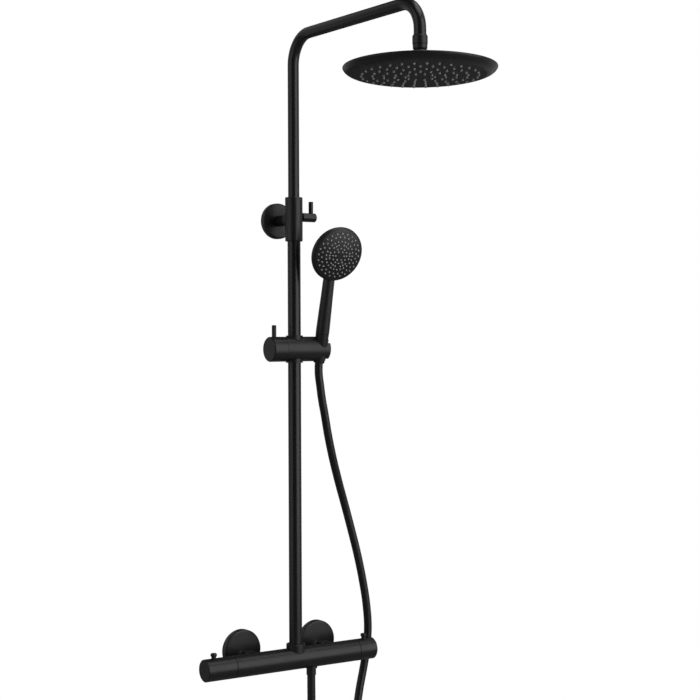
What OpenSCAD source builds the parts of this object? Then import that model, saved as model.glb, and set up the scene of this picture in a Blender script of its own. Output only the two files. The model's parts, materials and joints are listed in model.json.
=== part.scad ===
// Thermostatic rainfall shower column: bar valve, telescopic riser with overhead
// arm and rain head, height slider, hand shower and hose.
// Origin: on the wall plane, midway between the two water inlets.
// X runs right when facing the wall, +Y runs into the wall, Z runs up. Millimetres.

/* [Placing] */
// Distance from the wall to the axes of the bar and the riser
wall_gap = 58; // [54:1:66]
// Distance between the two wall inlets
inlet_pitch = 150; // [148:1:152]
// How far the bar hangs below the wall inlets
union_drop = 14; // [10:1:15]
// Height of the overhead arm above the inlets
arm_height = 1036; // [1000:1:1100]
// Reach of the overhead arm from the riser
arm_reach = 360; // [300:5:400]
// Height of the wall bracket and clamp sleeve above the inlets
bracket_z = 729; // [700:1:760]
// Height of the hand shower slider above the inlets
slider_z = 510; // [440:5:580]

/* [Valve bar] */
// Diameter of the bar and its two knobs
bar_d = 37; // [36:0.5:40]
// Half length of the fixed middle of the bar
body_half = 122; // [120:1:130]
// Length of the temperature knob
temperature_len = 54; // [46:1:60]
// Length of the flow knob
flow_len = 35; // [32:1:44]
// Distance of the hose outlet from the riser
outlet_x = 31; // [28:1:36]
// Diameter of the round wall covers over the inlets
cover_d = 70; // [64:1:72]

/* [Riser] */
// Outer diameter of the lower tube
lower_d = 22; // [22:1:22]
// Outer diameter of the bent upper tube
upper_d = 19; // [19:1:19]
// Bend radius of the upper tube
bend_r = 48; // [40:1:60]
// Length of the clamp sleeve
sleeve_len = 74; // [70:1:84]
// Diameter of the clamp sleeve
sleeve_d = 29.6; // [29:0.2:31]

/* [Rain head] */
// Diameter of the rain head
head_d = 233; // [225:1:240]

/* [Slider] */
// Diameter of the horizontal slider
slider_d = 42; // [41:0.5:44]
// Length of the slider to the left of the riser, clamp knob included
slider_left = 50; // [47:1:52]
// Length of the slider to the right of the riser
slider_right = 61; // [60:1:66]

/* [Hand shower] */
// Forward lean of the hand shower in its socket, in degrees
hand_lean = 13; // [8:1:16]
// Diameter of the hand shower's head
hand_d = 94; // [92:1:98]

/* [Hose] */
// Outer diameter of the hose
hose_d = 14; // [14:0.5:14]

/* [Hidden] */
$fn = 72;
run = 0.05;              // radial clearance of a running fit
seam = 0.4;              // visible gap between a knob and its neighbour
bar_y = -wall_gap;
bar_z = -union_drop;
bar_r = bar_d / 2;
inlet_x = inlet_pitch / 2;
thread_g12 = 20.9;       // outside of a G1/2 thread
thread_g34 = 26.4;       // outside of a G3/4 thread
cover_depth = 11;
union_from_bar = 28;     // where the wall union starts, measured from the bar axis

temp_end = -body_half - temperature_len;
flow_end = body_half + flow_len;
button_inset = 18;       // from a knob's end face to its button
button_d = 8;
button_cap_d = 10.5;
button_gap = 3.2;        // between the knob and the head of its button
button_top = bar_r + 8.5;
knob_wall = 6;
knob_edge = 1.2;         // chamfer round a knob's end face
knob_bore = 31;
hub_d = 14;
flange_z = 12.3;         // underside of a button's flange above the bar axis
flange_d = 9.6;
flange_t = 2.2;
spindle_d = 10;
spline_d = 9;            // outer end of the thermostat spindle
valve_spindle_d = 8;
temp_spindle_end = 150;
flow_spindle_end = 137.6;
press = 0.02;            // diameter added to a hole that grips its rod

wall_t = 1.3;            // riser tube wall
lower_id = lower_d - 2 * 1.35;
upper_id = upper_d - 2 * wall_t;
foot_z = bar_z + 12;
lower_top = bracket_z - 9;
sleeve_lo = bracket_z - sleeve_len / 2;
sleeve_hi = bracket_z + sleeve_len / 2;
bush_d = 25;
lever_z = bracket_z + 4;
lever_d = 15;
lever_reach = 42;
stem_d = 18.5;
bracket_d = 61;
upper_lo = 430;          // lower end of the upper tube
spigot_d = 16;
guide_len = 14;
screw_d = 8;

ball_r = 10;
stalk_d = 12.6;          // stub on the ball, held in the nut
stalk_h = 13;
ball_z = arm_height - 82;
seat_r = 12;
nut_low = 7;             // ball nut, measured up from the ball's centre
nut_high = 29;
nut_grip = 12;           // length of upper tube inside the nut
head_x = 0;
head_y = bar_y - arm_reach;
head_tilt = -2.2;        // of the rain head at rest, its front left edge raised
head_tilt_axis = [3, -2, 0];
face_r = 100;            // seam between the rain head's shell and its face
face_mid = -34;          // lowest point of the face, from the ball's centre
face_sag = 2.8;          // how far the face rises from its middle to its edge
face_t = 2.2;
mat_t = 1.2;             // plate of the nozzle mats
mat_gap = 0.05;          // between a face and the mat behind it

slider_r = slider_d / 2;
knob_split = -24;        // seam between slider knob and slider body
slider_len = slider_right - knob_split;
slider_seam = 0.15;
slider_pin_x = -slider_left + 10;
socket_x = 47;
socket_y = bar_y - 8.5;
nut_bottom = -24;
nut_top = 27;
nut_r0 = 9.5;            // cone nut radius at its mouth
nut_r1 = 11.4;           // and at its top
liner_t = 1;
hand_tilt = 8;           // of the spray face to the handle
hand_turn = -4.3;        // of the spray face about the handle
hand_head_z = 166.2;
hand_face_y = -22;
hand_r = hand_d / 2;
hand_face_r = hand_r - 6;
hand_face_mid = 5.3;
hand_face_sag = -5.5;

function cone_r(z) = nut_r0 + (z - nut_bottom) * (nut_r1 - nut_r0) / (nut_top - nut_bottom);

// Spray nozzles, one row for each ring: [radius, number of nozzles, first angle]
head_rings = [[22, 10, 108], [38.5, 15, 90], [55, 20, 99], [71.5, 25, 90], [88, 30, 96]];
hand_rings = [[7.8, 6, 0], [12.8, 12, 0], [18.8, 6, -15], [18.8, 6, 0], [18.8, 6, 15],
    [24.5, 24, 0], [32, 24, 7.5], [37.5, 24, 0]];

// Route of the hose's centre line, from inside the cone nut down behind the flow
// knob, round the bottom of the loop and up to the outlet under the bar
hose_route = [
    [47, -67.5, 514.4], [47, -63.8, 498.3], [47, -61.1, 486.6], [47.8, -59.2, 468],
    [51.3, -58.2, 447], [55.5, -57, 424], [61.5, -55.7, 399], [71, -52.5, 360],
    [84.5, -47, 318], [101.5, -39, 276], [118.7, -32.5, 234], [132.7, -31, 191],
    [145, -31, 148], [155.3, -31, 105], [163.3, -31, 62], [167, -31, 19],
    [164, -31, -20], [156, -32, -56], [147, -34, -88], [139, -37, -122],
    [134, -40, -160], [131, -43, -205], [130, -46, -250], [130, -49, -295],
    [130, -52, -340], [130, -55, -370], [130, -57, -396], [125, -58, -420],
    [111, -58, -441], [90.5, -58, -454.5], [66, -58, -459], [41.5, -58, -454.5],
    [21, -58, -441], [7, -58, -420], [2, -58, -396], [2, -58, -370],
    [3, -58, -335], [7, -58, -290], [12, -58, -245], [18, -58, -200],
    [24, -58, -160], [28.5, -58, -125], [31, -58, -92], [31, -58, -66],
    [31, -58, -40], [31, -58, -30]];
hose_sides = 10;

// ---------- placing helpers ----------

module at_bar() {
    translate([0, bar_y, bar_z]) children();
}

module along_x(x) {
    translate([x, 0, 0]) rotate([0, 90, 0]) children();
}

module along_y(y) {
    translate([0, y, 0]) rotate([-90, 0, 0]) children();
}

module at_riser(z) {
    translate([0, bar_y, z]) children();
}

module at_slider() {
    translate([0, bar_y, slider_z]) children();
}

module at_hand() {
    translate([socket_x, socket_y, slider_z]) rotate([hand_lean, 0, 0]) children();
}

// Local +Z points out of the hand shower's spray face
module at_hand_face() {
    at_hand() rotate([0, 0, hand_turn]) translate([0, hand_face_y, hand_head_z])
        rotate([90 + hand_tilt, 0, 0]) children();
}

module at_ball() {
    translate([head_x, head_y, ball_z]) children();
}

module at_head() {
    at_ball() rotate(a = head_tilt, v = head_tilt_axis) children();
}

// ---------- shape helpers ----------

module tube(od, id, h) {
    difference() {
        cylinder(d = od, h = h);
        translate([0, 0, -1]) cylinder(d = id, h = h + 2);
    }
}

// Rod with both end edges chamfered by c
module rod(d, h, c = 0.6) {
    rotate_extrude()
        polygon([[0, 0], [d / 2 - c, 0], [d / 2, c], [d / 2, h - c], [d / 2 - c, h], [0, h]]);
}

module o_ring(inner_r, section) {
    rotate_extrude() translate([inner_r + section / 2, 0]) circle(d = section, $fn = 24);
}

// Hexagon nut blank with chamfered corners, across flats af
module hex_blank(af, h) {
    corner = af / cos(30);
    intersection() {
        cylinder(d = corner, h = h, $fn = 6);
        rotate_extrude()
            polygon([[0, 0], [corner / 2 - 1.6, 0], [corner / 2, 1.2],
                [corner / 2, h - 1.2], [corner / 2 - 1.6, h], [0, h]]);
    }
}

function unit(v) = v / norm(v);
function tangent(path, i) = unit(path[min(i + 1, len(path) - 1)] - path[max(i - 1, 0)]);

// Closed tube of the given diameter along a path, one ring of points at each of its
// points; sideways holds, for each of them, a direction across the path
module swept(path, sideways, d, sides) {
    n = len(path);
    ring = function(i) let (t = tangent(path, i), v = unit(cross(t, sideways[i])), u = cross(v, t))
        [for (k = [0 : sides - 1])
            path[i] + d / 2 * (cos(360 * k / sides) * u + sin(360 * k / sides) * v)];
    polyhedron(
        points = [for (i = [0 : n - 1]) each ring(i)],
        faces = concat(
            [[for (k = [0 : sides - 1]) sides - 1 - k]],
            [for (i = [0 : n - 2]) for (k = [0 : sides - 1])
                let (a = i * sides + k, b = i * sides + (k + 1) % sides)
                each [[a, b, a + sides], [b, b + sides, a + sides]]],
            [[for (k = [0 : sides - 1]) (n - 1) * sides + k]]));
}

// Coil spring standing on z = 0
module spring(mean_d, wire, h, turns) {
    steps = turns * 12;
    turn = function(i) 360 * turns * i / steps;
    swept([for (i = [0 : steps]) [mean_d / 2 * cos(turn(i)), mean_d / 2 * sin(turn(i)),
            wire / 2 + (h - wire) * i / steps]],
        [for (i = [0 : steps]) [cos(turn(i)), sin(turn(i)), 0]], wire, 6);
}

// Round domed plate of thickness t: its lower face is at middle on the axis, and sag
// higher at radius span
module domed_plate(r, middle, sag, span, t) {
    radii = [for (i = [0 : 10]) r * i / 10];
    rotate_extrude() polygon(concat(
        [for (x = radii) [x, middle + sag * pow(x / span, 2)]],
        [for (i = [10 : -1 : 0]) [radii[i], middle + t + sag * pow(radii[i] / span, 2)]]));
}

// One child at every place of the rings in a table of [radius, count, first angle],
// raised with a dome that rises by sag at radius span
module ring_copies(rings, sag, span) {
    for (ring = rings)
        for (i = [0 : ring[1] - 1])
            rotate(ring[2] + 360 * i / ring[1])
                translate([ring[0], 0, sag * pow(ring[0] / span, 2)]) children();
}

// ---------- valve ----------

module valve_body() {
    color("#1a1a1b") at_bar() difference() {
        union() {
            along_x(-body_half) rod(bar_d, 2 * body_half, 0.4);
            for (x = [-inlet_x, inlet_x])
                translate([x, 0, 0]) {
                    along_y(0) cylinder(d = 20, h = 26);
                    along_y(23.5) cylinder(d = 24, h = 2.5);
                }
            cylinder(d = 29, h = 24);
        }
        along_x(-body_half - 1) cylinder(d = 29, h = 58);
        along_x(body_half - 58) cylinder(d = 27, h = 59);
        along_x(-body_half + 20) cylinder(d = 15, h = 2 * body_half - 40);
        for (x = [-inlet_x, inlet_x])
            translate([x, 0, 0]) along_y(0) cylinder(d = 16, h = 30);
        cylinder(d = 13, h = 20);
        translate([0, 0, 12]) cylinder(d = lower_d, h = 20);
        translate([outlet_x, 0, -20]) cylinder(d = thread_g12 + 0.1, h = 10.5);
        translate([outlet_x, 0, -20]) cylinder(d = 11, h = 20);
        for (z = [15, 19])
            translate([0, 0, z]) cylinder(d = lower_d + 3.8, h = 2);
    }
}

module eccentric_union(x) {
    color("#b9bbbd") translate([x, 0, 0]) difference() {
        union() {
            along_y(0) cylinder(d = thread_g12, h = 16);
            along_y(-9) cylinder(d = 27, h = 9);
            translate([0, 0, bar_z]) along_y(bar_y + union_from_bar)
                cylinder(d = thread_g34, h = wall_gap - union_from_bar - 4);
        }
        along_y(-8) cylinder(d = 13, h = 26);
        translate([0, 0, bar_z]) along_y(bar_y + union_from_bar - 1) cylinder(d = 15, h = 26);
    }
}

module eccentric_union_left() {
    eccentric_union(-inlet_x);
}

module eccentric_union_right() {
    eccentric_union(inlet_x);
}

// Captive nut that draws the valve onto the wall union
module union_nut(x) {
    color("#1a1a1b") at_bar() translate([x, 0, 0]) along_y(20) difference() {
        hex_blank(31, 17);
        translate([0, 0, -1]) cylinder(d = 20.2, h = 20);
        translate([0, 0, 3.4]) cylinder(d = thread_g34 + 0.1, h = 20);
    }
}

module union_nut_left() {
    union_nut(-inlet_x);
}

module union_nut_right() {
    union_nut(inlet_x);
}

// Round cover plate, hollow behind, with an off-centre hole for the union
module wall_cover(x) {
    r = cover_d / 2;
    color("#1a1a1b") translate([x, 0, 0]) difference() {
        along_y(0) mirror([0, 0, 1]) rotate_extrude()
            polygon([[r - 1.6, 0], [r, 0], [r, cover_depth - 3], [r - 0.9, cover_depth - 0.9],
                [r - 3, cover_depth], [0, cover_depth], [0, cover_depth - 1.6],
                [r - 3.4, cover_depth - 1.6], [r - 1.6, cover_depth - 3.4]]);
        translate([0, 0, bar_z]) along_y(-20) cylinder(d = thread_g34 + 0.4, h = 30);
    }
}

module wall_cover_left() {
    wall_cover(-inlet_x);
}

module wall_cover_right() {
    wall_cover(inlet_x);
}

module inlet_filters() {
    color("#8a8d90") at_bar() for (x = [-inlet_x, inlet_x])
        translate([x, 0, 0]) along_y(26) {
            tube(24, 14, 2);
            rotate_extrude() polygon([[6.2, 0], [7, 0], [7, 2], [4, 6], [0, 7], [0, 6.4], [3.7, 5.4], [6.2, 1.8]]);
        }
}

module check_valves() {
    color("#d8d8d4") at_bar() for (x = [-inlet_x, inlet_x])
        translate([x, 0, 0]) along_y(15.2) difference() {
            cylinder(d = 15.9, h = 9);
            translate([0, 0, -1]) cylinder(d = 10, h = 6);
            translate([0, 0, 6]) tube(12, 6, 4);
        }
}

module thermostat_cartridge() {
    color("#c9a55c") at_bar() difference() {
        union() {
            along_x(-117) cylinder(d = 28.9, h = 12);
            along_x(-105) cylinder(d = 24, h = 38);
            along_x(-88) cylinder(d = 28.9, h = 4);
            along_x(-69) cylinder(d = 28.9, h = 4);
            along_x(-131) cylinder(d = 20, h = 14);
        }
        along_x(-132) cylinder(d = spindle_d + 2 * run, h = 22);
        along_x(-100) cylinder(d = 16, h = 40);
        translate([-96, 0, 0]) along_y(-20) cylinder(d = 5, h = 40);
        translate([-77, 0, 0]) along_y(-20) cylinder(d = 5, h = 40);
    }
}

// Screw rings that hold the two cartridges in the bar
module cartridge_nuts() {
    color("#b9bbbd") at_bar() {
        along_x(-body_half + 0.4) tube(28.9, 20.2, 4.4);
        along_x(body_half - 4.8) tube(26.9, 18.2, 4.4);
    }
}

module thermostat_spindle() {
    color("#c9a55c") at_bar() {
        along_x(-112) mirror([0, 0, 1]) rod(spindle_d, 20, 0.4);
        along_x(-temp_spindle_end) rod(spline_d, 18.2, 0.4);
    }
}

// Hollow knob with a hub for its spindle and a hole for its button, at the left end
// of the bar for side -1 and at the right end for 1
module knob(side, length, spindle, spindle_end) {
    inner = body_half + seam;
    outer = body_half + length;
    depth = outer - inner;
    at_bar() mirror([side < 0 ? 1 : 0, 0, 0]) difference() {
        along_x(inner) rotate_extrude()
            polygon([[0, 0], [bar_r - 0.5, 0], [bar_r, 0.5], [bar_r, depth - knob_edge],
                [bar_r - knob_edge, depth], [0, depth]]);
        difference() {
            along_x(inner - 1) cylinder(d = knob_bore, h = depth - knob_wall + 1);
            along_x(inner + 10) cylinder(d = hub_d, h = depth);
        }
        along_x(inner) cylinder(d = spindle + press, h = spindle_end + 0.4 - inner);
        translate([outer - button_inset, 0, 9]) cylinder(d = button_d + 2 * run, h = 20);
    }
}

module temperature_knob() {
    color("#1a1a1b") knob(-1, temperature_len, spline_d, temp_spindle_end);
}

// Push button: inner flange, stem and a wider head outside the knob
module button(x) {
    head_z = bar_r + button_gap;
    color("#1a1a1b") at_bar() translate([x, 0, 0]) {
        translate([0, 0, flange_z]) cylinder(d = flange_d, h = flange_t);
        translate([0, 0, flange_z]) cylinder(d = button_d, h = head_z - flange_z);
        translate([0, 0, head_z]) rod(button_cap_d, button_top - head_z, 1);
    }
}

module temperature_button() {
    button(temp_end + button_inset);
}

module button_spring(x) {
    color("#c4c6c8") at_bar() translate([x, 0, hub_d / 2 + 0.4]) spring(6, 0.8, 4.3, 4);
}

module temperature_button_spring() {
    button_spring(temp_end + button_inset);
}

module diverter_cartridge() {
    color("#c9a55c") at_bar() difference() {
        union() {
            along_x(76) cylinder(d = 26.9, h = 41);
            along_x(116) cylinder(d = 18, h = 13);
        }
        along_x(80) cylinder(d = 22, h = 4);
        along_x(83) cylinder(d = valve_spindle_d + 2 * run, h = 50);
        for (a = [0 : 120 : 240])
            rotate([a, 0, 0]) translate([0, 0, 6]) along_x(75) cylinder(d = 6, h = 6);
        translate([94, 0, 0]) along_y(-20) tube(60, 24, 3);
    }
}

module diverter_spindle() {
    color("#c9a55c") at_bar() along_x(83.6) rod(valve_spindle_d, flow_spindle_end - 83.6, 0.4);
}

module diverter_disc() {
    color("#e9e6df") at_bar() along_x(80.4) difference() {
        cylinder(d = 21.8, h = 3.2);
        translate([-6, 0, -1]) cylinder(d = 6, h = 6);
    }
}

module flow_knob() {
    color("#1a1a1b") knob(1, flow_len, valve_spindle_d, flow_spindle_end);
}

module flow_button() {
    button(flow_end - button_inset);
}

module flow_button_spring() {
    button_spring(flow_end - button_inset);
}

// ---------- riser ----------

module riser_collar() {
    color("#1a1a1b") at_bar() difference() {
        translate([0, 0, 5]) rod(32, 20.4, 0.8);
        translate([0, 0, 0]) cylinder(d = 29, h = 24);
        translate([0, 0, 20]) cylinder(d = lower_d + 0.2, h = 10);
        along_x(-30) cylinder(d = bar_d, h = 60);
    }
}

module foot_seals() {
    color("#222222") at_bar() for (z = [16, 20])
        translate([0, 0, z]) o_ring(lower_d / 2, 1.8);
}

module lower_tube() {
    color("#1a1a1b") at_riser(foot_z) tube(lower_d, lower_id, lower_top - foot_z);
}

module clamp_sleeve() {
    color("#1a1a1b") difference() {
        at_riser(sleeve_lo) rod(sleeve_d, sleeve_len, 0.8);
        at_riser(sleeve_lo - 1) cylinder(d = lower_d, h = sleeve_len);
        at_riser(lower_top) cylinder(d = bush_d, h = sleeve_hi - 2 - lower_top);
        at_riser(sleeve_lo) cylinder(d = upper_d + 1, h = sleeve_len + 2);
        at_riser(lever_z) along_x(0) cylinder(d = screw_d + 2 * run, h = 30);
        at_riser(bracket_z) along_y(12) cylinder(d = 6, h = 10);
    }
}

module guide_bush() {
    color("#d8d8d4") at_riser(lower_top) difference() {
        tube(bush_d, upper_d + 2 * run, sleeve_hi - 2 - lower_top);
        translate([0, 0, lever_z - lower_top]) along_x(0) cylinder(d = screw_d + 2 * run, h = 30);
    }
}

// Pad that the clamp screw presses on the upper tube
module clamp_shoe() {
    color("#c9a55c") at_riser(lever_z) difference() {
        along_x(upper_d / 2) cylinder(d = screw_d - 0.1, h = 3);
        translate([0, 0, -10]) cylinder(d = upper_d + 2 * run, h = 20);
    }
}

module clamp_lever() {
    color("#1a1a1b") at_riser(lever_z) difference() {
        along_x(sleeve_d / 2 + 0.3) rod(lever_d, lever_reach - sleeve_d / 2 - 0.3, 0.8);
        along_x(0) cylinder(d = screw_d, h = 30);
        translate([lever_reach - 8, 0, 2]) cylinder(d = 7.8, h = 20);
    }
}

module lever_pin() {
    color("#1a1a1b") at_riser(lever_z) translate([lever_reach - 8, 0, 2]) rod(7.8, 25, 0.7);
}

module clamp_screw() {
    color("#c4c6c8") at_riser(lever_z) along_x(upper_d / 2 + 3.1) rod(screw_d, 30 - upper_d / 2 - 3.1, 0.5);
}

// Arm from the wall to the sleeve, with a collar against the sleeve
module bracket_stem() {
    color("#1a1a1b") at_riser(bracket_z) difference() {
        union() {
            along_y(0) rod(24, 20, 0.8);
            along_y(19) cylinder(d = stem_d, h = wall_gap - 19 - 4);
            along_y(8) cylinder(d = 5.9, h = 8);
        }
        difference() {
            cylinder(d = sleeve_d, h = 100, center = true);
            along_y(12.6) cylinder(d = 5.9, h = 8);
        }
        along_y(wall_gap - 21) cylinder(d = 14, h = 30);
        translate([0, wall_gap - 14, -stem_d]) cylinder(d = 4, h = stem_d);
    }
}

module bracket_cover() {
    r = bracket_d / 2;
    depth = 10;
    color("#1a1a1b") translate([0, 0, bracket_z]) difference() {
        along_y(0) mirror([0, 0, 1]) rotate_extrude()
            polygon([[r - 1.6, 0], [r, 0], [r, depth - 3], [r - 0.9, depth - 0.9],
                [r - 3, depth], [0, depth], [0, depth - 1.6],
                [r - 3.4, depth - 1.6], [r - 1.6, depth - 3.4]]);
        along_y(-20) cylinder(d = stem_d + 0.2, h = 30);
    }
}

module bracket_base() {
    color("#b9bbbd") translate([0, bar_y, bracket_z]) difference() {
        union() {
            along_y(wall_gap - 3) cylinder(d = 40, h = 3);
            along_y(wall_gap - 20) cylinder(d = 13.9, h = 18);
        }
        along_y(wall_gap - 21) cylinder(d = 10.2, h = 11);
        along_y(wall_gap - 21) cylinder(d = 6.2, h = 30);
    }
}

module bracket_screw() {
    color("#c4c6c8") translate([0, 0, bracket_z]) difference() {
        union() {
            along_y(-10) cylinder(d = 6, h = 10);
            along_y(-0.1) cylinder(d = 5, h = 30.1);
            along_y(-14) rod(10, 4, 0.5);
        }
        along_y(-15) cylinder(d = 5, h = 3.4, $fn = 6);
    }
}

module tube_guide() {
    color("#d8d8d4") at_riser(upper_lo + 2) tube(lower_id - 2 * run, spigot_d + 2 * run, guide_len);
}

module tube_seals() {
    color("#222222") for (z = [upper_lo + 26, upper_lo + 34])
        at_riser(z) o_ring(7.9, 1.65);
}

module bend(radius) {
    rotate_extrude(angle = 90) translate([radius, 0]) difference() {
        circle(d = upper_d);
        circle(d = upper_id);
    }
}

// Bent tube: up from the guide, forward to the head, and down to the ball nut
module upper_tube() {
    shoulder = upper_lo + 2 + guide_len + 0.3;
    r2 = bend_r - 3;
    color("#1a1a1b") {
        difference() {
            union() {
                at_riser(upper_lo) cylinder(d = spigot_d, h = shoulder - upper_lo + 1);
                at_riser(shoulder) cylinder(d = upper_d, h = arm_height - bend_r - shoulder);
            }
            at_riser(upper_lo - 1) cylinder(d = 12, h = 60);
            at_riser(upper_lo + 50) cylinder(d = upper_id, h = arm_height);
            for (z = [upper_lo + 26, upper_lo + 34])
                at_riser(z - 1) tube(upper_d + 2, 15.8, 2);
        }
        translate([0, bar_y - bend_r, arm_height - bend_r])
            rotate([90, 0, 90]) bend(bend_r);
        translate([0, head_y + r2, arm_height])
            along_y(0) tube(upper_d, upper_id, arm_reach - r2 - bend_r);
        translate([0, head_y + r2, arm_height - r2])
            rotate([90, 0, 90]) rotate(90) bend(r2);
        translate([0, head_y, ball_z + nut_high - nut_grip])
            tube(upper_d, upper_id, arm_height - r2 - ball_z - nut_high + nut_grip);
    }
}

// ---------- rain head ----------

module ball_nut() {
    color("#1a1a1b") at_ball() difference() {
        rotate_extrude() polygon([[0, nut_low], [10, nut_low], [11, 8.2], [11.1, 14], [11.6, 15],
            [11.6, 26.6], [10.6, 27.6], [10.3, nut_high], [0, nut_high]]);
        translate([0, 0, nut_high - nut_grip]) cylinder(d = upper_d, h = 20);
        cylinder(d = stalk_d, h = stalk_h);
        translate([0, 0, stalk_h - 1]) cylinder(d = 10, h = 10);
        sphere(r = ball_r, $fn = 96);
    }
}

module ball_stem() {
    color("#c4c6c8") at_ball() difference() {
        union() {
            sphere(r = ball_r, $fn = 96);
            cylinder(d = stalk_d, h = stalk_h);
        }
        translate([0, 0, -15]) cylinder(d = 8, h = 40);
    }
}

// Spherical liner between the ball and the head's socket
module ball_seat() {
    color("#d8d8d4") at_head() difference() {
        intersection() {
            sphere(r = seat_r, $fn = 96);
            translate([0, 0, -6.5]) cylinder(r = 20, h = 10.3);
        }
        sphere(r = ball_r + run, $fn = 96);
    }
}

module head_cap() {
    color("#1a1a1b") at_head() difference() {
        rotate_extrude() polygon([[0, 0], [19.4, 0], [19.4, 1], [17.5, 3], [14.8, 4], [0, 4]]);
        sphere(r = seat_r + run, $fn = 96);
    }
}

// Thin round shell, open below, with the lower half of the ball socket
module head_shell() {
    r = head_d / 2;
    color("#1a1a1b") at_head() difference() {
        rotate_extrude() polygon([
            [0, 0], [19, 0], [19, -6], [21, -8.5], [60, -13], [95, -16.3], [111, -18.6],
            [r - 1.2, -19.3], [r, -20.3], [r - 0.3, -21.8], [r - 2, -24.4], [r - 5.5, -27.3],
            [r - 10.5, -29.6], [face_r, face_mid + face_sag], [face_r, face_mid + face_sag + 2.6],
            [r - 11.5, -27.4], [r - 7, -25.3], [r - 4, -22], [96, -19.4], [60, -16],
            [22, -13.5], [0, -13.5]]);
        sphere(r = seat_r + run, $fn = 96);
        translate([0, 0, -20]) cylinder(d = 14, h = 20);
    }
}

module head_face() {
    color("#1a1a1b") at_head() difference() {
        domed_plate(face_r - 0.1, face_mid, face_sag, face_r, face_t);
        translate([0, 0, face_mid - 1]) ring_copies(head_rings, face_sag, face_r)
            cylinder(d = 3.8, h = 5, $fn = 24);
    }
}

// Silicone mat behind the face, with one soft nozzle through each hole
module head_nozzles() {
    color("#8f9294") at_head() {
        domed_plate(face_r - 6, face_mid + face_t + mat_gap, face_sag, face_r, mat_t);
        translate([0, 0, face_mid - 2.3]) ring_copies(head_rings, face_sag, face_r)
            rotate_extrude($fn = 24)
                polygon([[0, 0], [1.2, 0], [1.5, 0.4], [1.7, 2.3], [1.7, 5], [0, 5]]);
    }
}

module head_gasket() {
    r = face_r - 8;
    color("#222222") at_head()
        translate([0, 0, face_mid + face_t + mat_t + face_sag * pow(r / face_r, 2) + 1.1])
            o_ring(r - 1, 2);
}

// ---------- slider and hand shower holder ----------

module slider_body() {
    color("#1a1a1b") difference() {
        at_slider() along_x(knob_split) rotate_extrude()
            polygon([[0, 0], [slider_r - 0.2, 0], [slider_r, 0.2], [slider_r, slider_len - 1],
                [slider_r - 1, slider_len], [0, slider_len]]);
        at_slider() cylinder(d = 27, h = 60, center = true);
        at_slider() along_x(-40) cylinder(d = screw_d + 2 * run, h = 40);
        at_hand() translate([0, 0, -40])
            cylinder(r1 = cone_r(-40) + 0.1 + liner_t, r2 = cone_r(40) + 0.1 + liner_t, h = 80);
        at_hand() translate([0, -7.6, -40]) cube([40, 15.2, 80]);
    }
}

// Sliding liner round the riser, with a thin collar at each end
module slider_bush() {
    half = slider_r + 2;
    color("#1a1a1b") at_slider() difference() {
        union() {
            cylinder(d = 27, h = 2 * half, center = true);
            for (s = [-1, 1])
                translate([0, 0, s * (half - 0.9)]) cylinder(d = 29, h = 1.8, center = true);
        }
        cylinder(d = lower_d + 2 * run, h = 60, center = true);
        along_x(-40) cylinder(d = screw_d + 2 * run, h = 40);
    }
}

module slider_knob() {
    knob_len = slider_left + knob_split - slider_seam;
    color("#1a1a1b") at_slider() difference() {
        along_x(-slider_left) rotate_extrude()
            polygon([[0, 0], [slider_r - 1.6, 0], [slider_r, 1.6],
                [slider_r, knob_len - 0.2], [slider_r - 0.2, knob_len], [0, knob_len]]);
        along_x(-38) cylinder(d = screw_d, h = 40);
        translate([slider_pin_x, 0, 12]) cylinder(d = 7.6, h = 20);
    }
}

module slider_pin() {
    color("#1a1a1b") at_slider() translate([slider_pin_x, 0, 12]) rod(7.6, 28.5, 0.7);
}

module slider_screw() {
    color("#c4c6c8") at_slider() along_x(-38) rod(screw_d, 23.7, 0.5);
}

// Pad that the slider's screw presses on the riser
module slider_pad() {
    color("#c9a55c") at_slider() difference() {
        along_x(-14.2) cylinder(d = screw_d - 0.1, h = 4);
        cylinder(d = lower_d + 2 * run, h = 20, center = true);
    }
}

module socket_liner() {
    color("#222222") difference() {
        at_hand() translate([0, 0, -19])
            cylinder(r1 = cone_r(-19) + 0.1 + liner_t, r2 = cone_r(18) + 0.1 + liner_t, h = 37);
        at_hand() translate([0, 0, -40])
            cylinder(r1 = cone_r(-40) + 0.1, r2 = cone_r(40) + 0.1, h = 80);
        at_hand() translate([0, -7.6, -40]) cube([40, 15.2, 80]);
    }
}

// Conical nut that holds the hose and seats in the socket
module cone_nut() {
    color("#1a1a1b") at_hand() difference() {
        translate([0, 0, nut_bottom]) rotate_extrude()
            polygon([[0, 0], [nut_r0 - 0.6, 0], [nut_r0, 0.6], [nut_r1, nut_top - nut_bottom],
                [0, nut_top - nut_bottom]]);
        translate([0, 0, nut_bottom - 1]) cylinder(r = 7.5, h = 6 - nut_bottom);
        translate([0, 0, nut_bottom]) cylinder(d = 9, h = 60);
        translate([0, 0, 8]) cylinder(d = 20.2, h = 30);
    }
}

module nut_washer() {
    color("#222222") at_hand() translate([0, 0, 8]) tube(20, 10, 2);
}

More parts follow.
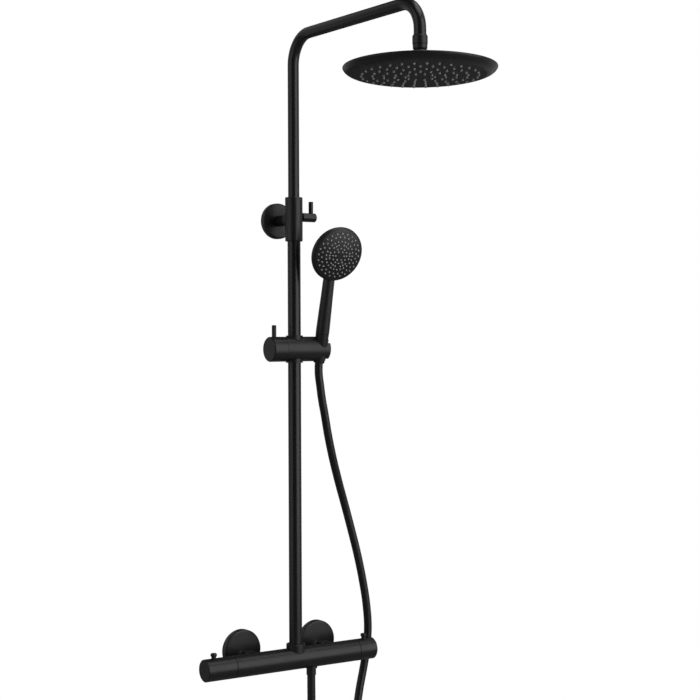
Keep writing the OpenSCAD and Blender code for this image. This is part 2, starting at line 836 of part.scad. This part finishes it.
// Handle and head back in one hollow piece
module handset_shell() {
    color("#1a1a1b") difference() {
        union() {
            at_hand() rotate_extrude()
                polygon([[0, 10.2], [10, 10.2], [10, 27.2], [11.55, 27.2], [11.5, 35], [10.85, 68],
                    [10, 110], [9.6, 130], [9.2, 148], [7, 154], [0, 157]]);
            at_hand_face() rotate_extrude()
                polygon([[0, -20], [24, -19], [36, -16.2], [42.5, -12.5], [hand_r - 0.8, -8.6],
                    [hand_r, -6.4], [hand_r - 0.4, -4.2], [hand_r - 1.8, -2.2], [hand_r - 4, -0.7],
                    [hand_face_r, hand_face_mid + hand_face_sag], [0, hand_face_mid + hand_face_sag]]);
        }
        at_hand() translate([0, 0, 9]) cylinder(d = 13, h = 131);
        at_hand_face() translate([0, 0, -12.5]) cylinder(r = hand_face_r - 2, h = 11);
        at_hand_face() translate([0, 0, -2.6]) cylinder(r = hand_face_r, h = 10);
    }
}

module handset_face() {
    color("#1a1a1b") at_hand_face() difference() {
        domed_plate(hand_face_r - 0.1, hand_face_mid - face_t, hand_face_sag, hand_face_r, face_t);
        translate([0, 0, hand_face_mid - 4]) ring_copies(hand_rings, hand_face_sag, hand_face_r)
            cylinder(d = 3, h = 8, $fn = 16);
    }
}

module handset_nozzles() {
    mat_r = hand_face_r - 3;
    color("#8f9294") at_hand_face() {
        domed_plate(mat_r, hand_face_mid - face_t - mat_gap - mat_t, hand_face_sag, hand_face_r, mat_t);
        translate([0, 0, hand_face_mid - face_t - 0.5])
            ring_copies(hand_rings, hand_face_sag, hand_face_r)
                rotate_extrude($fn = 16)
                    polygon([[0, 0], [1.4, 0], [1.4, 2.9], [1.2, 3.7], [0.9, 3.9], [0, 3.9]]);
    }
}

module handset_gasket() {
    r = hand_face_r - 5;
    mat_back = hand_face_mid - face_t - mat_t + hand_face_sag * pow(r / hand_face_r, 2);
    color("#222222") at_hand_face() translate([0, 0, mat_back - 0.9]) o_ring(r - 0.75, 1.5);
}

// ---------- hose ----------

// The hose's route never runs along Y, so Y gives a direction across it everywhere
module hose() {
    color("#1a1a1b") swept(hose_route, [for (p = hose_route) [0, 1, 0]], hose_d, hose_sides);
}

// Threaded end of the hose, screwed up into the bar, with its ferrule
module hose_fitting() {
    color("#1a1a1b") at_bar() translate([outlet_x, 0, 0]) difference() {
        union() {
            translate([0, 0, -19.6]) cylinder(d = thread_g12, h = 10);
            translate([0, 0, -32]) rod(16.4, 13, 0.6);
        }
        translate([0, 0, -40]) cylinder(d = hose_d + 0.4, h = 24);
        translate([0, 0, -20]) cylinder(d = 9, h = 20);
    }
}

valve_body();
eccentric_union_left();
eccentric_union_right();
union_nut_left();
union_nut_right();
wall_cover_left();
wall_cover_right();
inlet_filters();
check_valves();
thermostat_cartridge();
thermostat_spindle();
cartridge_nuts();
temperature_knob();
temperature_button();
temperature_button_spring();
diverter_cartridge();
diverter_spindle();
diverter_disc();
flow_knob();
flow_button();
flow_button_spring();
riser_collar();
foot_seals();
lower_tube();
clamp_sleeve();
guide_bush();
clamp_shoe();
clamp_lever();
lever_pin();
clamp_screw();
bracket_stem();
bracket_cover();
bracket_base();
bracket_screw();
tube_guide();
tube_seals();
upper_tube();
ball_nut();
ball_stem();
ball_seat();
head_cap();
head_shell();
head_face();
head_nozzles();
head_gasket();
slider_body();
slider_bush();
slider_knob();
slider_pin();
slider_screw();
slider_pad();
socket_liner();
cone_nut();
handset_shell();
handset_face();
handset_nozzles();
handset_gasket();
nut_washer();
hose();
hose_fitting();
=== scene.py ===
"""Looks of the rainfall shower column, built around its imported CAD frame."""
import json
import math

import bmesh
import bpy
from mathutils import Matrix, Vector


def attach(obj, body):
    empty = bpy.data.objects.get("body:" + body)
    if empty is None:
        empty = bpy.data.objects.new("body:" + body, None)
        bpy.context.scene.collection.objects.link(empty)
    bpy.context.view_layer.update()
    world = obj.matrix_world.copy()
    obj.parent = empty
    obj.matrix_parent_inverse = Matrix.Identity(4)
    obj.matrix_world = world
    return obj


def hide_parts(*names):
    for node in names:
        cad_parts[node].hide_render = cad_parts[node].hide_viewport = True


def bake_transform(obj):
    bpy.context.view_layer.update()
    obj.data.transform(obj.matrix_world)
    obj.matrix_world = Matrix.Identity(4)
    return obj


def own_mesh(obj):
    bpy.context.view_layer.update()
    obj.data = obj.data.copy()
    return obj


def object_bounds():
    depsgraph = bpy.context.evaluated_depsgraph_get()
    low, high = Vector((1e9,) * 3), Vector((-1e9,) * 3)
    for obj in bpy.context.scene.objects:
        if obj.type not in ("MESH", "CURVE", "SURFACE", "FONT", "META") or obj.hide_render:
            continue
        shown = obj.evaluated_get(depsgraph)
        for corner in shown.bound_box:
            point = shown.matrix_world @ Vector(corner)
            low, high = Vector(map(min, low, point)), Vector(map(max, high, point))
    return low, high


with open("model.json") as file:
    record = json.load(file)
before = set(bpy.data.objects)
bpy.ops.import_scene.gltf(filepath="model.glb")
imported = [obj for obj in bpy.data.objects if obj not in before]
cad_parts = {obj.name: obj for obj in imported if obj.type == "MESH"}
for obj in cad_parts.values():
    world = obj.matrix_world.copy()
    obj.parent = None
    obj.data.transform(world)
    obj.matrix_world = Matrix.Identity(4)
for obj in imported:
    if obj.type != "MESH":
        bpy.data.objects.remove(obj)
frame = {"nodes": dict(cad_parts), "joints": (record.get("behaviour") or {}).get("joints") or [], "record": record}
cad_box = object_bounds()

MM = 0.001

# ---------- places, from the frame ----------

JOINTS = {joint["name"]: joint for joint in frame["joints"]}
BALL = Vector(JOINTS["head_pitch"]["pos_m"])         # middle of the rain head's ball joint
HAND_AXIS = Vector(JOINTS["handset_pull"]["axis"]).normalized()
SOCKET = Vector(JOINTS["handset_twist"]["pos_m"])    # foot of the hand shower's axis
HAND_LEAN = math.atan2(-HAND_AXIS.y, HAND_AXIS.z)

# ---------- camera ----------

CAMERA_AT = Vector((-1.3889, -2.2991, 0.5403))
CAMERA_TURN = math.radians(33.81)      # to the right of the wall's normal
CAMERA_PITCH = math.radians(-0.70)
CAMERA_ROLL = math.radians(-0.22)
SENSOR = 36.0
LENS = 80.16
CAMERA_SHIFT = 0.0008
NEAREST = 0.05
FARTHEST = 30
LEVEL_AHEAD = Vector((math.sin(CAMERA_TURN), math.cos(CAMERA_TURN), 0))
LEVEL_RIGHT = Vector((math.cos(CAMERA_TURN), -math.sin(CAMERA_TURN), 0))


def make_camera():
    pitch, roll = CAMERA_PITCH, CAMERA_ROLL
    ahead = LEVEL_AHEAD * math.cos(pitch) + Vector((0, 0, math.sin(pitch)))
    right = LEVEL_RIGHT
    up = right.cross(ahead)
    tilted_right = right * math.cos(roll) + up * math.sin(roll)
    tilted_up = up * math.cos(roll) - right * math.sin(roll)
    data = bpy.data.cameras.new("camera")
    data.sensor_width = SENSOR
    data.lens = LENS
    data.shift_x = CAMERA_SHIFT
    data.clip_start = NEAREST
    data.clip_end = FARTHEST
    camera = bpy.data.objects.new("camera", data)
    bpy.context.scene.collection.objects.link(camera)
    axes = Matrix((tilted_right, tilted_up, -ahead)).transposed()
    camera.matrix_world = Matrix.Translation(CAMERA_AT) @ axes.to_4x4()
    bpy.context.scene.camera = camera


make_camera()
bpy.context.scene.view_settings.view_transform = "Standard"

# ---------- mesh helpers ----------

SHARP_ANGLE = math.radians(40)         # edges that turn more stay sharp


def shade(mesh):
    mesh.shade_smooth()
    mesh.set_sharp_from_angle(angle=SHARP_ANGLE)


def finish_mesh(name, bm):
    """Turns a bmesh into a shaded object in the scene."""
    bmesh.ops.recalc_face_normals(bm, faces=bm.faces)
    mesh = bpy.data.meshes.new(name)
    bm.to_mesh(mesh)
    bm.free()
    shade(mesh)
    obj = bpy.data.objects.new(name, mesh)
    bpy.context.scene.collection.objects.link(obj)
    return obj


def smooth_line(points, step):
    """Points every step along a smooth curve (Catmull-Rom, centripetal) through the given ones."""
    pts = [Vector(p) for p in points]
    pts = [pts[0] * 2 - pts[1]] + pts + [pts[-1] * 2 - pts[-2]]
    out = []
    for i in range(1, len(pts) - 2):
        p0, p1, p2, p3 = pts[i - 1:i + 3]
        t1 = (p1 - p0).length ** 0.5
        t2 = t1 + (p2 - p1).length ** 0.5
        t3 = t2 + (p3 - p2).length ** 0.5
        n = max(1, round((p2 - p1).length / step))
        for k in range(n):
            t = t1 + (t2 - t1) * k / n
            a1 = p0 * ((t1 - t) / t1) + p1 * (t / t1)
            a2 = p1 * ((t2 - t) / (t2 - t1)) + p2 * ((t - t1) / (t2 - t1))
            a3 = p2 * ((t3 - t) / (t3 - t2)) + p3 * ((t - t2) / (t3 - t2))
            b1 = a1 * ((t2 - t) / t2) + a2 * (t / t2)
            b2 = a2 * ((t3 - t) / (t3 - t1)) + a3 * ((t - t1) / (t3 - t1))
            out.append(b1 * ((t2 - t) / (t2 - t1)) + b2 * ((t - t1) / (t2 - t1)))
    out.append(pts[-2].copy())
    return out


def turns(count):
    """Cosine and sine of evenly spaced angles round a circle."""
    angles = [2 * math.pi * k / count for k in range(count)]
    return [(math.cos(a), math.sin(a)) for a in angles]


def loft_rings(name, bm, rings):
    """Closed solid through rings of as many vertices each, flat at both ends."""
    for a, b in zip(rings, rings[1:]):
        for k in range(len(a)):
            n = (k + 1) % len(a)
            bm.faces.new((a[k], a[n], b[n], b[k]))
    bm.faces.new(rings[0])
    bm.faces.new(rings[-1])
    return finish_mesh(name, bm)


def tube_along(name, line, radius, sides):
    """Closed round tube along a line of points."""
    bm = bmesh.new()
    rings = []
    side = Vector((0, 1, 0))
    for i, point in enumerate(line):
        ahead = (line[min(i + 1, len(line) - 1)] - line[max(i - 1, 0)]).normalized()
        v = ahead.cross(side).normalized()
        u = v.cross(ahead)
        rings.append([bm.verts.new(point + radius * (c * u + s * v)) for c, s in turns(sides)])
    return loft_rings(name, bm, rings)


def lathe(name, profile, segments, place):
    """Solid of revolution of a closed (radius, height) profile about Z, placed by a matrix."""
    bm = bmesh.new()
    rings = []
    for radius, height in profile:
        if radius == 0:
            rings.append([bm.verts.new(place @ Vector((0, 0, height)))])
        else:
            rings.append([bm.verts.new(place @ Vector((radius * c, radius * s, height)))
                          for c, s in turns(segments)])
    pairs = list(zip(rings, rings[1:]))
    if len(rings[0]) > 1 or len(rings[-1]) > 1:
        pairs.append((rings[-1], rings[0]))
    for a, b in pairs:
        for k in range(segments):
            n = (k + 1) % segments
            if len(a) == 1 and len(b) > 1:
                bm.faces.new((a[0], b[k], b[n]))
            elif len(b) == 1 and len(a) > 1:
                bm.faces.new((a[k], a[n], b[0]))
            elif len(a) > 1:
                bm.faces.new((a[k], a[n], b[n], b[k]))
    return finish_mesh(name, bm)


# ---------- materials ----------

NOISE_LOW, NOISE_HIGH = 0.3, 0.7       # where most of a noise texture's values lie
SKIN_DEPTH = 0.0001                    # of the finest grain, in metres


def node_material(name):
    material = bpy.data.materials.new(name)
    material.use_nodes = True
    nodes, links = material.node_tree.nodes, material.node_tree.links
    shader = nodes["Principled BSDF"]
    return material, nodes, links, shader


def noise(nodes, links, scale, detail=3.0, rough=0.55):
    """Noise in object space; its scale is in waves per metre."""
    place = nodes.new("ShaderNodeTexCoord")
    tex = nodes.new("ShaderNodeTexNoise")
    tex.inputs["Scale"].default_value = scale
    tex.inputs["Detail"].default_value = detail
    tex.inputs["Roughness"].default_value = rough
    links.new(place.outputs["Object"], tex.inputs["Vector"])
    return tex.outputs["Fac"]


def spread(nodes, links, value, low_high):
    """Maps a noise value onto a range."""
    ramp = nodes.new("ShaderNodeMapRange")
    ramp.inputs["From Min"].default_value = NOISE_LOW
    ramp.inputs["From Max"].default_value = NOISE_HIGH
    ramp.inputs["To Min"].default_value = low_high[0]
    ramp.inputs["To Max"].default_value = low_high[1]
    links.new(value, ramp.inputs["Value"])
    return ramp.outputs["Result"]


def two_tone(nodes, links, value, dark, light):
    """Colour between two tones, by a noise value."""
    mix = nodes.new("ShaderNodeMix")
    mix.data_type = "RGBA"
    mix.inputs["A"].default_value = (*dark, 1)
    mix.inputs["B"].default_value = (*light, 1)
    links.new(value, mix.inputs["Factor"])
    return mix.outputs["Result"]


def bump(nodes, links, height, strength):
    node = nodes.new("ShaderNodeBump")
    node.inputs["Strength"].default_value = strength
    node.inputs["Distance"].default_value = SKIN_DEPTH
    links.new(height, node.inputs["Height"])
    return node.outputs["Normal"]


def coated(name, dark, light, rough, grain_scale, grain):
    """Black coating or moulding: cloudy tone, uneven gloss and a fine skin."""
    material, nodes, links, shader = node_material(name)
    clouds = noise(nodes, links, 18, 4)
    links.new(two_tone(nodes, links, clouds, dark, light), shader.inputs["Base Color"])
    smears = noise(nodes, links, 45, 5, 0.6)
    links.new(spread(nodes, links, smears, rough), shader.inputs["Roughness"])
    skin = noise(nodes, links, grain_scale, 2)
    links.new(bump(nodes, links, skin, grain), shader.inputs["Normal"])
    return material


def metal(name, dark, light, rough):
    """Bare turned metal with a faint cloud."""
    material, nodes, links, shader = node_material(name)
    clouds = noise(nodes, links, 60, 4)
    links.new(two_tone(nodes, links, clouds, dark, light), shader.inputs["Base Color"])
    links.new(spread(nodes, links, clouds, rough), shader.inputs["Roughness"])
    shader.inputs["Metallic"].default_value = 1.0
    skin = noise(nodes, links, 900, 2)
    links.new(bump(nodes, links, skin, 0.15), shader.inputs["Normal"])
    return material


def soft(name, dark, light, rough, subsurface=0.0):
    """Rubber, silicone, plain plastic or ceramic, with light passing just under its skin if asked."""
    material, nodes, links, shader = node_material(name)
    clouds = noise(nodes, links, 120, 3)
    links.new(two_tone(nodes, links, clouds, dark, light), shader.inputs["Base Color"])
    links.new(spread(nodes, links, clouds, rough), shader.inputs["Roughness"])
    skin = noise(nodes, links, 1500, 2)
    links.new(bump(nodes, links, skin, 0.2), shader.inputs["Normal"])
    shader.inputs["Subsurface Weight"].default_value = subsurface
    shader.inputs["Subsurface Radius"].default_value = (2 * MM, 2 * MM, 2 * MM)
    return material


MATERIALS = {
    "satin_black": coated("satin_black", (0.0075, 0.0075, 0.0080), (0.0115, 0.0115, 0.0120),
                          (0.30, 0.40), 1400, 0.25),
    "black_tube": coated("black_tube", (0.0070, 0.0070, 0.0075), (0.0100, 0.0100, 0.0105),
                         (0.24, 0.30), 900, 0.05),
    "black_plastic": coated("black_plastic", (0.0085, 0.0085, 0.0090), (0.0125, 0.0125, 0.0130),
                            (0.34, 0.45), 1800, 0.3),
    "hose_pvc": coated("hose_pvc", (0.0070, 0.0070, 0.0072), (0.0100, 0.0100, 0.0103),
                       (0.26, 0.36), 500, 0.15),
    "silicone": soft("silicone", (0.42, 0.425, 0.43), (0.55, 0.555, 0.56), (0.45, 0.6), 0.1),
    "seal_rubber": soft("seal_rubber", (0.012, 0.012, 0.012), (0.02, 0.02, 0.02), (0.6, 0.75)),
    "brass": metal("brass", (0.60, 0.43, 0.19), (0.72, 0.54, 0.27), (0.25, 0.38)),
    "nickel": metal("nickel", (0.55, 0.55, 0.56), (0.68, 0.68, 0.69), (0.22, 0.34)),
    "white_plastic": soft("white_plastic", (0.70, 0.70, 0.66), (0.78, 0.78, 0.75), (0.35, 0.5)),
    "ceramic_disc": soft("ceramic_disc", (0.80, 0.78, 0.73), (0.86, 0.84, 0.80), (0.15, 0.25)),
}


def paint(obj, slot):
    obj.data.materials.clear()
    obj.data.materials.append(MATERIALS[slot])


def paint_cad_nodes():
    for row in frame["record"]["subparts"]:
        paint(frame["nodes"][row["node"]], row["material_slot"])


def dress(obj, slot, node):
    """Paints a new piece, and makes it stand for its CAD node."""
    paint(obj, slot)
    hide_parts(node)


paint_cad_nodes()

# ---------- rain head shell ----------

# the head rests tilted on its ball, as in the frame
HEAD_TILT = math.radians(-2.2)
HEAD_TILT_AXIS = Vector((3, -2, 0))
# one closed profile of (radius, height) from the ball, in millimetres: hub, outer skin and hollow
HEAD_HUB = [(12.05, 0), (19, 0)]
HEAD_TOP = [(19, -5.4), (20.3, -8), (24, -9.4), (40, -11.2), (60, -13), (80, -15), (95, -16.3),
            (107, -17.8), (113.5, -18.9), (116, -19.6), (116.5, -20.4), (116.1, -22),
            (114.5, -24.4), (111, -27.3), (106, -29.6), (100, -31.2)]
HEAD_INSIDE = [(100, -28.6), (105, -27.4), (109.5, -25.3), (112.5, -22), (96, -19.4), (60, -16),
               (22, -13.5), (7, -13.5), (7, -9.8), (10, -6.7), (11.6, -3.3)]
HEAD_SIDES = 192
PROFILE_STEP = 2.0


def rounded(profile):
    """Smooth curve through the points of a (radius, height) profile, in millimetres."""
    line = smooth_line([(radius, 0, height) for radius, height in profile], PROFILE_STEP)
    return [(p.x, p.z) for p in line]


def in_metres(profile):
    return [(radius * MM, height * MM) for radius, height in profile]


def make_head_shell():
    place = Matrix.Translation(BALL) @ Matrix.Rotation(HEAD_TILT, 4, HEAD_TILT_AXIS)
    profile = in_metres(HEAD_HUB + rounded(HEAD_TOP) + HEAD_INSIDE)
    shell = lathe("rain_head_shell", profile, HEAD_SIDES, place)
    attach(shell, "rain_head")
    dress(shell, "satin_black", "head_shell")


make_head_shell()

# ---------- hand shower shell ----------

HAND_TURN = math.radians(-4.3)         # of the face about the hand shower's axis
FACE_OFFSET = Vector((0, -22, 166.2)) * MM
FACE_TILT = math.radians(98)
# the dish's profile of (radius, height) from its face, in millimetres
DISH_BACK = [(0, -20), (12, -19.8), (24, -18.7), (34, -16.6), (40.5, -13.4), (44.4, -10.3), (46.4, -8),
             (47, -6.4), (46.6, -4.2), (45.2, -2.2), (43, -0.8), (41, -0.2)]
DISH_FRONT = [(41, -2.6), (39, -2.6), (39, -12.5), (0, -12.5)]
# height, half width, half depth and forward shift of the handle's sections
HANDLE = [(10.2, 9.9, 9.9, 0), (27.2, 9.9, 9.9, 0), (27.2, 11.2, 11.2, 0), (27.6, 11.55, 11.55, 0),
          (35, 11.5, 11.5, 0), (68, 10.85, 10.85, 0), (90, 10.3, 10.3, 0), (110, 10, 10, 0),
          (122, 9.9, 9.8, 0), (132, 10.2, 9.5, -0.4), (141, 11, 9, -1.3), (149, 12.2, 8.2, -2.8),
          (156, 13.2, 7.2, -4.8), (162, 13.2, 6.2, -7.2), (168, 11.5, 5, -9.6), (173, 7, 3.5, -11.6)]
HANDLE_SIDES = 64
DISH_SIDES = 128


def make_handle(place):
    """Elliptical sections stacked along the hand shower's axis."""
    bm = bmesh.new()
    rings = []
    for height, half_wide, half_deep, shift in HANDLE:
        points = [Vector((half_wide * c, half_deep * s + shift, height)) * MM
                  for c, s in turns(HANDLE_SIDES)]
        rings.append([bm.verts.new(place @ point) for point in points])
    return loft_rings("hand_shower_shell", bm, rings)


def join_to(first, second):
    """Makes the first solid its union with the second, and removes the second."""
    union = first.modifiers.new("joined", "BOOLEAN")
    union.operation = "UNION"
    union.solver = "EXACT"
    union.object = second
    bpy.context.view_layer.update()
    evaluated = first.evaluated_get(bpy.context.evaluated_depsgraph_get())
    mesh = bpy.data.meshes.new_from_object(evaluated)
    first.modifiers.clear()
    first.data = mesh
    shade(mesh)
    bpy.data.objects.remove(second)


def make_handset_shell():
    hand = Matrix.Translation(SOCKET) @ Matrix.Rotation(HAND_LEAN, 4, "X")
    face = (hand @ Matrix.Rotation(HAND_TURN, 4, "Z") @ Matrix.Translation(FACE_OFFSET)
            @ Matrix.Rotation(FACE_TILT, 4, "X"))
    dish = lathe("dish", in_metres(rounded(DISH_BACK) + DISH_FRONT), DISH_SIDES, face)
    shell = make_handle(hand)
    join_to(shell, dish)
    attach(shell, "hand_shower")
    dress(shell, "black_plastic", "handset_shell")


make_handset_shell()

# ---------- button springs ----------

SPRINGS = {"safety_press": "temperature_button_spring", "eco_press": "flow_button_spring"}


def soften_springs():
    for joint, node in SPRINGS.items():
        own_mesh(frame["nodes"][node])


soften_springs()

# ---------- hose ----------

HOSE_DIAMETER = 14 * MM
HOSE_SIDES = 32
HOSE_STEP = 5 * MM
# points on the hose's middle line, in millimetres
HOSE_ROUTE_MM = [
    (47, -67.5, 514.4), (47, -63.8, 498.3), (47, -61.1, 486.6), (47.8, -59.2, 468),
    (51.3, -58.2, 447), (55.5, -57, 424), (61.5, -55.7, 399), (71, -52.5, 360),
    (84.5, -47, 318), (101.5, -39, 276), (118.7, -32.5, 234), (132.7, -31, 191),
    (145, -31, 148), (155.3, -31, 105), (163.3, -31, 62), (167, -31, 19),
    (164, -31, -20), (156, -32, -56), (147, -34, -88), (139, -37, -122),
    (134, -40, -160), (131, -43, -205), (130, -46, -250), (130, -49, -295),
    (130, -52, -340), (130, -55, -370), (130, -57, -396), (125, -58, -420),
    (111, -58, -441), (90.5, -58, -454.5), (66, -58, -459), (41.5, -58, -454.5),
    (21, -58, -441), (7, -58, -420), (2, -58, -396), (2, -58, -370),
    (3, -58, -335), (7, -58, -290), (12, -58, -245), (18, -58, -200),
    (24, -58, -160), (28.5, -58, -125), (31, -58, -92), (31, -58, -66),
    (31, -58, -40), (31, -58, -30)]


def make_hose():
    line = smooth_line([Vector(p) * MM for p in HOSE_ROUTE_MM], HOSE_STEP)
    hose = tube_along("hose_tube", line, HOSE_DIAMETER / 2, HOSE_SIDES)
    dress(hose, "hose_pvc", "hose")
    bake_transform(hose)


make_hose()

# ---------- stage ----------

WHITE = 1.0                            # strength of the white that only the camera sees
DIM = 0.06                             # strength of the world for every other ray
FLOOR_HALF = 9
FLOOR_DARK = (0.30, 0.30, 0.30)
FLOOR_LIGHT = (0.34, 0.34, 0.34)
FLOOR_ROUGH = 0.9
FLOOR_BELOW = 0.02                     # gap between the object's lowest point and the floor
PANEL_DISTANCE = 3.2
PANEL_WIDE = 3.4
PANEL_HIGH = 4.6
PANEL_MIDDLE = 1.2                     # height of the panels' middles
PANEL_AIM = Vector((0, -0.1, PANEL_MIDDLE))
FRONT_TURN = 61                        # degrees from the line of sight to a front panel's middle
BACK_TURN = 135                        # and to a back panel's middle
# degrees to the right of the line of sight and power of each upright panel
PANELS = {
    "left_panel": (-FRONT_TURN, 30),
    "right_panel": (FRONT_TURN, 75),
    "back_left_panel": (-BACK_TURN, 15),
    "back_right_panel": (BACK_TURN, 15),
}
TOP_PANEL = {"at": (0.6, -1.0, 3.4), "look_at": (0, -0.1, 0.35), "wide": 3.0, "high": 1.8, "power": 30}


def area_light(name, at, look_at, wide, high, power):
    data = bpy.data.lights.new(name, "AREA")
    data.shape = "RECTANGLE"
    data.size = wide
    data.size_y = high
    data.energy = power
    light = bpy.data.objects.new(name, data)
    bpy.context.scene.collection.objects.link(light)
    light.location = at
    light.rotation_euler = (Vector(look_at) - Vector(at)).to_track_quat("-Z", "Y").to_euler()


def upright_panel(name, degrees_right, power):
    """Tall soft panel, turned about the column from the line of sight."""
    turn = math.radians(degrees_right)
    at = (LEVEL_RIGHT * math.sin(turn) - LEVEL_AHEAD * math.cos(turn)) * PANEL_DISTANCE
    at.z = PANEL_MIDDLE
    area_light(name, at, PANEL_AIM, PANEL_WIDE, PANEL_HIGH, power)


def seen_white(nodes, links, emitter, output, other):
    """White to the camera, and another shader to every other ray."""
    white = nodes.new(emitter)
    white.inputs["Color"].default_value = (1, 1, 1, 1)
    white.inputs["Strength"].default_value = WHITE
    ray = nodes.new("ShaderNodeLightPath")
    mix = nodes.new("ShaderNodeMixShader")
    links.new(ray.outputs["Is Camera Ray"], mix.inputs["Fac"])
    links.new(other, mix.inputs[1])
    links.new(white.outputs[0], mix.inputs[2])
    links.new(mix.outputs["Shader"], output)


def make_floor():
    low = cad_box[0].z - FLOOR_BELOW
    bm = bmesh.new()
    corners = [(-1, -1), (1, -1), (1, 1), (-1, 1)]
    bm.faces.new([bm.verts.new((x * FLOOR_HALF, y * FLOOR_HALF, low)) for x, y in corners])
    floor = finish_mesh("floor", bm)
    material, nodes, links, shader = node_material("pale_floor")
    clouds = noise(nodes, links, 3)
    links.new(two_tone(nodes, links, clouds, FLOOR_DARK, FLOOR_LIGHT), shader.inputs["Base Color"])
    shader.inputs["Roughness"].default_value = FLOOR_ROUGH
    surface = nodes["Material Output"].inputs["Surface"]
    seen_white(nodes, links, "ShaderNodeEmission", surface, shader.outputs["BSDF"])
    floor.data.materials.append(material)


def make_world():
    world = bpy.data.worlds.new("studio")
    bpy.context.scene.world = world
    world.use_nodes = True
    nodes, links = world.node_tree.nodes, world.node_tree.links
    dim = nodes["Background"]
    dim.inputs["Color"].default_value = (1, 1, 1, 1)
    dim.inputs["Strength"].default_value = DIM
    surface = nodes["World Output"].inputs["Surface"]
    seen_white(nodes, links, "ShaderNodeBackground", surface, dim.outputs["Background"])


def make_lights():
    for name, (degrees_right, power) in PANELS.items():
        upright_panel(name, degrees_right, power)
    area_light("top_panel", **TOP_PANEL)


make_floor()
make_world()
make_lights()
